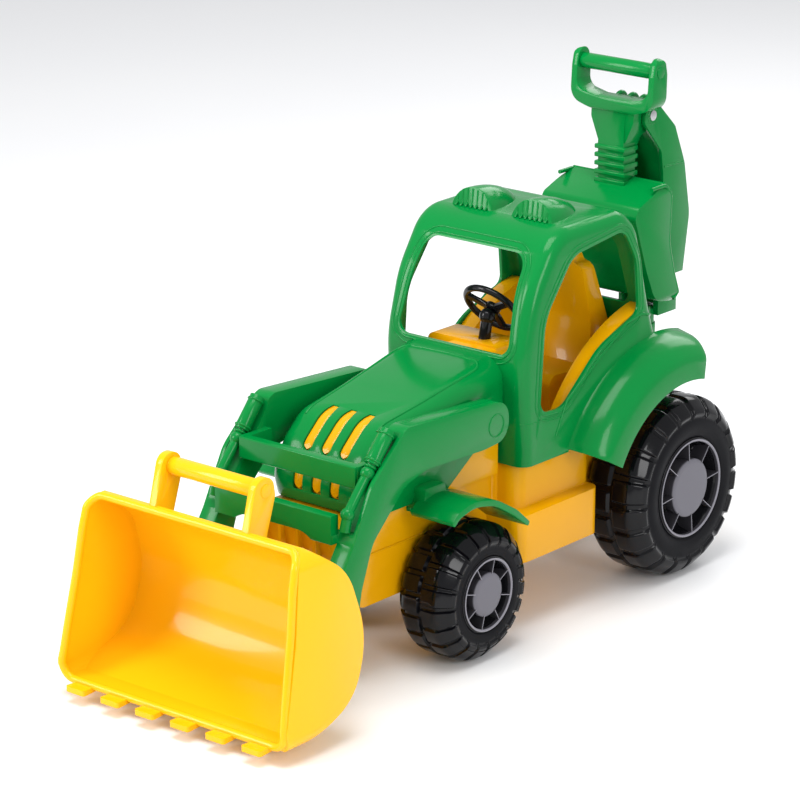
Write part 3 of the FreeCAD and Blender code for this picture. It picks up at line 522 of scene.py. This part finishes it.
def makeWheel(end, sideName, spec):
    side = 1 if sideName == "left" else -1
    body = f"wheel_{end}_{sideName}"
    corner = f"{end}_{sideName}"
    rim, face = spec["rim"], spec["face"]
    centre = place(0, spec["y"], spec["radius"])
    tyre = objectFrom(f"{corner}.tyre", tyreMesh(spec, side))
    smooth(tyre, 60)
    finish(tyre, rubber, body, "tyre_plastic", f"{corner}_tyre")

    def sided(points):
        return [(side * x, r) for x, r in rounded(points)]

    disc, web = 0.58 * rim, face - 15
    hub = objectFrom(f"{corner}.hub", lathe(sided([
        (wheelInside, 2.7), (wheelInside, 9, 0.8), (web - 3, 9, 2), (web - 3, rim - 3, 2),
        (wheelInside + 2, rim - 3), (wheelInside + 2, rim, 0.6), (face - 1.6, rim, 0.8),
        (face - 1.6, rim - 1.4, 0.8), (face - 6, rim - 3.4, 2), (web, rim - 6, 5), (web, 2.7),
    ]), centre))
    smooth(hub)
    finish(hub, black, body, "black_plastic", f"{corner}_hub")
    cap = objectFrom(f"{corner}.disc", lathe(sided([
        (face - 3.6, 0.01), (face - 0.9, 0.01), (face - 1.0, disc - 3, 9), (face - 1.9, disc, 1.2),
        (face - 5, disc, 0.3), (web, disc - 1.5), (web, disc - 4), (face - 3.6, disc - 4, 0.5),
    ]), centre))
    smooth(cap, 50)
    finish(cap, grey, body, "grey_plastic", f"{corner}_cap")
    ring = objectFrom(f"{corner}.ring", lathe(sided([
        (face - 3.5, rim - 3.2), (face - 1.0, rim - 3.0, 0.4), (face - 0.3, rim - 2.0, 0.5),
        (face - 0.5, rim - 1.2, 0.4), (face - 3.5, rim - 1.2),
    ]), centre))
    smooth(ring)
    finish(ring, ribGrey, body, "grey_plastic")
    mesh, span = ribMesh(disc - 1.2, rim - 2.6, 12.5, side)
    ribs = objectFrom(f"{corner}.ribs", mesh)
    setInputs(ribs, ribsGroup, {
        "Count": wheel["ribs"], "Radius": span * mm, "Turn": math.radians(spec["turn"]) * -1,
        "Centre": centre + Vector((side * (face - 1.2) * mm, 0, 0)), "Finish": ribGrey,
    })
    finish(ribs, ribGrey, body, "grey_plastic")


for end, spec in wheelSizes.items():
    for sideName in ("left", "right"):
        makeWheel(end, sideName, spec)
print("wheels made")


# moulded shells

shells = {
    # node: edge radius in millimetres
    "chassis": 2.4, "cab_interior": 0.8, "grille_insert": 0.4, "hood": 0.9, "cab_shell": 0.9,
    "front_fender_left": 1.9, "front_fender_right": 1.9, "rear_bracket": 1.0,
    "loader_frame": 1.2, "lift_cylinder_left": 0.8, "lift_cylinder_right": 0.8,
    "bucket_shell": 1.1, "bucket_grip_bar": 0.6, "swing_post": 0.8, "boom": 1.2,
    "dipper_arm": 0.9, "rear_bucket": 1.0, "rear_grip_bar": 0.6, "steering_wheel": 0.5,
    "loader_pivot_rod": 0.4, "bucket_pins": 0.3, "swing_pin": 0.3, "boom_pin": 0.3,
    "dipper_pin": 0.3, "steering_column": 0.5, "front_axle": 0.3, "rear_axle": 0.3,
    "front_axle_caps": 0.3, "rear_axle_caps": 0.3,
}
slotOf = {part["node"]: part["material_slot"] for part in frame["record"]["subparts"]}


# runs of points laid onto a shell's surface

def laidOn(node, points, direction, sink=0.0):
    mesh = bmesh.new()
    mesh.from_mesh(frame["nodes"][node].data)
    tree = BVHTree.FromBMesh(mesh)
    run = []
    for point in points:
        hit = tree.ray_cast(point - direction * 0.4, direction)[0]
        if hit is not None:
            run.append(hit + direction * sink * mm)
    mesh.free()
    return run


def widened(run, gap):  # a closed run of (a, b) points moved outwards
    moved = []
    area = sum(here.x * after.y - after.x * here.y for here, after in zip(run, run[1:] + run[:1]))
    sign = 1 if area > 0 else -1
    for index, here in enumerate(run):
        along = (run[(index + 1) % len(run)] - run[index - 1]).normalized()
        moved.append(here + Vector((along.y, -along.x)) * (sign * gap))
    return moved


def finerRun(points, gap=2.5, closed=False):
    run = []
    pairs = list(zip(points, points[1:] + points[:1]))
    for here, after in pairs if closed else pairs[:-1]:
        parts = max(1, round((after - here).length / (gap * mm)))
        run += [here.lerp(after, part / parts) for part in range(parts)]
    return run if closed else run + [points[-1]]


for node, edge in shells.items():
    slotName = slotOf[node]
    material = lemon if node in ("bucket_shell", "bucket_grip_bar") else finishOf[slotName]
    moulded(node, material, slotName, edge)
print("shells made")


# raised lines and rims on the shells

wellOutside = 110  # beyond every side face, from where a line is laid inwards
besideBoom = 60

def line(name, node, points, radius, direction=None, closed=False, sink=0.25, material=None):
    # a bead along points in metres, laid onto the node's surface if a direction is given
    run = finerRun(points, closed=closed)
    if direction is not None:
        run = laidOn(node, run, Vector(direction), sink)
    item = objectFrom(name, tube(run, radius * mm, closed))
    smooth(item, 70)
    chosen = material or finishOf[slotOf[node]]
    return finish(item, chosen, bodyOf[node], slotOf[node])


cabLines = {
    "sideWindow": [(-155, 162, 9), (-150, 232, 40), (-118, 273, 22), (-56, 280, 14),
                   (-40, 254, 30), (-36, 213, 8), (-84, 196, 60), (-128, 160, 20)],
    "windshield": [(52, 207, 9), (46, 277, 12), (-46, 277, 12), (-52, 207, 9)],
    "rearWindow": [(46, 212, 9), (42, 268, 12), (-42, 268, 12), (-46, 212, 9)],
    "ledge": [(-136, 140), (-124, 163, 20), (-96, 192, 30), (-63, 205, 40), (-32, 211, 20),
              (-12, 204)],
    "seam": [(-173, 157), (-124, 156)],
    "gaps": (2.6, 6.4), "radius": 0.8,
    "lampRibs": 7, "lampPitch": 4.6, "lampMiddle": 28,
}


def makeCabLines(spec):
    for side, label in ((1, "left"), (-1, "right")):
        inwards = (-side, 0, 0)
        for number, gap in enumerate(spec["gaps"]):
            run = widened(rounded(spec["sideWindow"]), gap)
            line(f"cab.sideLine{number}.{label}", "cab_shell",
                 [place(side * wellOutside, *spot) for spot in run], spec["radius"], inwards, True)
        line(f"cab.ledge.{label}", "cab_shell",
             [place(side * wellOutside, *spot) for spot in rounded(spec["ledge"])], 1.3, inwards)
        line(f"cab.seam.{label}", "cab_shell",
             [place(side * wellOutside, *spot) for spot in spec["seam"]], 0.5, inwards)
        for number in range(spec["lampRibs"]):
            x = side * spec["lampMiddle"] + spec["lampPitch"] * (number - 3)
            arch = math.sqrt(max(0.0, 1 - ((number - 3) / 4.2) ** 2))
            points = [place(x, -160, 294), place(x, -160, 294 + 14 * arch)]
            line(f"cab.lampRib{number}.{label}", "cab_shell", points, 0.9, (0, 1, 0))
    for number, gap in enumerate(spec["gaps"]):
        run = widened(rounded(spec["windshield"]), gap)
        line(f"cab.frontLine{number}", "cab_shell", [place(x, -300, z) for x, z in run],
             spec["radius"], (0, 1, 0), True)
    run = widened(rounded(spec["rearWindow"]), spec["gaps"][0])
    line("cab.rearLine", "cab_shell", [place(x, 60, z) for x, z in run], spec["radius"],
         (0, -1, 0), True)


makeCabLines(cabLines)

hoodLines = {
    "panel": [(-33, -300), (-36, -230, 60), (-38, -187, 10), (0, -184, 200), (38, -187, 10),
              (36, -230, 60), (33, -300)],
    "slots": (-17, 0, 17), "width": 4.2, "upper": (159, 183.6), "lower": (131.6, 149.4),
    "side": [(-325, 122), (-330, 138, 25), (-316, 164, 25), (-297, 181, 30), (-252, 189)],
}


def strip(outline, middle, half, low, high, top, bottom):
    # a bar that follows the outline between two heights, with rounded ends
    run = []
    for here, after in zip(outline, outline[1:]):
        parts = max(1, round((after - here).length))
        along = (after - here).normalized()
        for part in range(parts):
            spot = here.lerp(after, part / parts)
            if low <= spot.y <= high:
                run.append((spot, Vector((along.y, -along.x))))
    lengths = [0.0]
    for (here, _), (after, _) in zip(run, run[1:]):
        lengths.append(lengths[-1] + (after - here).length)
    mesh = bmesh.new()
    rings = []
    for (spot, inwards), length in zip(run, lengths):
        near = min(length, lengths[-1] - length)
        wide = half * math.sqrt(max(0.06, 1 - (1 - min(1.0, near / half)) ** 2))
        ring = []
        for x, depth in ((-wide, bottom), (-wide, top + 0.7), (-wide + 0.9, top),
                         (wide - 0.9, top), (wide, top + 0.7), (wide, bottom)):
            point = spot + inwards * depth
            ring.append(mesh.verts.new(place(middle + x, point.x, point.y)))
        rings.append(ring)
    for lower, upper in zip(rings, rings[1:]):
        for index in range(6):
            after = (index + 1) % 6
            mesh.faces.new((lower[index], lower[after], upper[after], upper[index]))
    mesh.faces.new(rings[0])
    mesh.faces.new(rings[-1])
    bmesh.ops.recalc_face_normals(mesh, faces=mesh.faces)
    return mesh


def makeHoodLines(spec):
    line("hood.panel", "hood", [place(x, y, 320) for x, y in rounded(spec["panel"])], 1.0,
         (0, 0, -1))
    outer = [Vector(spot) for spot in rounded(spec["side"], 12)]
    bars = []
    for middle in spec["slots"]:
        for low, high in (spec["upper"], spec["lower"]):
            bars.append(strip(outer, middle, spec["width"], low, high, 0.9, 3.2))
    item = objectFrom("hood.bars", joined(bars))
    smooth(item)
    finish(item, amber, "tractor", "yellow_plastic")


makeHoodLines(hoodLines)

bucketLip = {
    "corners": [(-96.2, 143.8, 11), (96.2, 143.8, 11), (104.7, 13.0, 11), (-104.7, 13.0, 11)],
    # the mouth's front edge: height, distance
    "edge": [(10, -477), (14, -478.5), (26, -480), (55, -474.5), (90, -467.5), (120, -463),
             (136, -459), (144, -452), (150, -449)],
    "radius": 2.9,
}


def between(table, value):  # straight interpolation in a short table
    for (low, first), (high, last) in zip(table, table[1:]):
        if value <= high:
            share = max(0.0, (value - low) / (high - low))
            return first + (last - first) * share
    return table[-1][1]


def makeBucketLip(spec):
    # a rolled edge round the mouth
    run = finerRun([place(p.x, 0, p.y) for p in rounded(spec["corners"], 10)], 3, True)
    crown = [place(0, between(spec["edge"], p.z / mm), 0).y for p in run]
    points = [Vector((p.x, y, p.z)) for p, y in zip(run, crown)]
    item = objectFrom("bucket.lip", tube(points, spec["radius"] * mm, True, 16))
    smooth(item, 70)
    finish(item, lemon, "bucket", "yellow_plastic")


makeBucketLip(bucketLip)

armLines = {"pivot": (-211, 168), "mark": 8.4, "end": (-379, 60), "endMark": 7.0}


def circle(side, x, middle, radius, count=40):
    y, z = middle
    return [place(side * x, y + radius * math.cos(turn), z + radius * math.sin(turn))
            for turn in (2 * math.pi * step / count for step in range(count))]


def makeArmLines(spec):
    for side, label in ((1, "left"), (-1, "right")):
        for name, middle, radius in (("pivot", spec["pivot"], spec["mark"]),
                                     ("end", spec["end"], spec["endMark"])):
            line(f"arm.{name}.{label}", "loader_frame",
                 circle(side, wellOutside, middle, radius), 0.7, (-side, 0, 0), True)


makeArmLines(armLines)

backhoe = {
    "scoopEdge": [(8, 294.4), (26, 294.6, 5), (32.6, 286, 8), (31, 248, 40), (38, 224, 16),
                  (44.6, 207, 3), (39, 202.6)],
    "lip": 1.6, "scoopHalf": 43.6,
    "step": [(51, 301), (77.5, 301)], "boomPivot": (35, 344), "boomFoot": (66, 198),
    "humps": (-11, 0, 11), "humpAt": (41, 350), "humpRadius": 5.4, "hose": 2.4,
}


def makeBackhoeLines(spec):
    half = spec["scoopHalf"]
    for side, label in ((1, "left"), (-1, "right")):
        run = [place(side * half, a, b) for a, b in rounded(spec["scoopEdge"])]
        line(f"scoop.lip.{label}", "rear_bucket", run, spec["lip"])
        line(f"boom.step.{label}", "boom",
             [place(side * besideBoom, *spot) for spot in spec["step"]], 0.9, (-side, 0, 0))
        line(f"boom.pivot.{label}", "boom", circle(side, besideBoom, spec["boomPivot"], 6.4), 0.6,
             (-side, 0, 0), True)
        line(f"boom.foot.{label}", "swing_post",
             circle(side, besideBoom, spec["boomFoot"], 6.0), 0.6, (-side, 0, 0), True)
    for name, height, back in (("top", 294.9, 26.0), ("bottom", 203.4, 42.0)):
        line(f"scoop.{name}Lip", "rear_bucket",
             [place(-half, back, height), place(half, back, height)], spec["lip"])
    for number, x in enumerate(spec["humps"]):
        y, z = spec["humpAt"]
        reach = spec["humpRadius"]
        run = [place(x, y - reach * math.cos(turn), z + reach * math.sin(turn))
               for turn in (math.pi * step / 14 for step in range(-2, 17))]
        line(f"boom.hose{number}", "boom", run, spec["hose"])


makeBackhoeLines(backhoe)

ram = {"top": (-320.5, 189.5), "bottom": (-364, 139.5), "x": 60.7, "collars": (3.5, 24.5, 29.0),
       "radii": (6.2, 6.3, 4.6)}


def makeRamCollars(spec):
    top, bottom = Vector(spec["top"]), Vector(spec["bottom"])
    along = (bottom - top).normalized()
    for side, label in ((1, "left"), (-1, "right")):
        middle = place(side * spec["x"], *top)
        axis = Vector((0, along.x, along.y))
        across = Vector((0, -along.y, along.x))
        for number, (reach, radius) in enumerate(zip(spec["collars"], spec["radii"])):
            hub = middle + axis * reach * mm
            run = [hub + (Vector((1, 0, 0)) * math.cos(turn) + across * math.sin(turn))
                   * (radius - 0.9) * mm for turn in (math.tau * step / 28 for step in range(28))]
            line(f"ram.collar{number}.{label}", f"lift_cylinder_{label}", run, 1.1, closed=True)


makeRamCollars(ram)

noseLine = {"plan": [(-40, -250), (-40, -354, 14), (40, -354, 14), (40, -250)], "height": 92}


def makeNoseLine(spec):
    # a fine ledge round the nose, found by looking inwards from a wider run
    run = rounded(spec["plan"])
    points = []
    mesh = bmesh.new()
    mesh.from_mesh(frame["nodes"]["chassis"].data)
    tree = BVHTree.FromBMesh(mesh)
    for spot in finerRun([place(p.x, p.y, spec["height"]) for p in run]):
        centre = place(0, -310, spec["height"])
        inwards = (centre - spot).normalized()
        hit = tree.ray_cast(spot - inwards * 0.1, inwards)[0]
        if hit is not None:
            points.append(hit)
    mesh.free()
    line("nose.ledge", "chassis", points, 0.8)


makeNoseLine(noseLine)
print("lines made")


# floor and light

def makeFloor():
    mesh = bmesh.new()
    bmesh.ops.create_grid(mesh, x_segments=1, y_segments=1, size=6)
    item = objectFrom("floor", mesh)
    made = Finish("paleFloor")
    spot = made.add("TexCoord", output=3)
    haze = made.add("TexNoise", Vector=spot, Scale=3, Detail=2)
    shade = made.add("Mix", {"data_type": "RGBA"}, output=2, Factor=haze,
                     A=(0.93, 0.93, 0.94, 1), B=(0.96, 0.96, 0.96, 1))
    item.data.materials.append(made.surface(Base_Color=shade, Roughness=0.6))


lights = {
    # name: place, size, watts
    "overhead": ((0.1, -0.3, 1.7), (1.0, 1.0), 20),
    "frontLeft": ((-1.2, -1.7, 1.0), (0.7, 1.1), 24),
    "frontRight": ((1.9, -0.7, 1.0), (0.5, 1.2), 14),
    "behind": ((-0.3, 1.8, 1.3), (1.2, 0.7), 10),
}


def makeLights():
    for name, (spot, span, power) in lights.items():
        data = bpy.data.lights.new(name, "AREA")
        data.shape = "RECTANGLE"
        data.size, data.size_y = span
        data.energy = power
        item = bpy.data.objects.new(name, data)
        bpy.context.scene.collection.objects.link(item)
        item.location = spot
        item.rotation_mode = "QUATERNION"
        item.rotation_quaternion = (Vector((0, 0, 0.15)) - Vector(spot)).to_track_quat("-Z", "Y")
    world = bpy.data.worlds.new("studio")
    world.use_nodes = True
    world.node_tree.nodes["Background"].inputs["Color"].default_value = (0.97, 0.98, 1, 1)
    world.node_tree.nodes["Background"].inputs["Strength"].default_value = 0.65
    bpy.context.scene.world = world


bpy.context.scene.view_settings.view_transform = "Standard"
makeFloor()
makeLights()
makeCamera(camera)
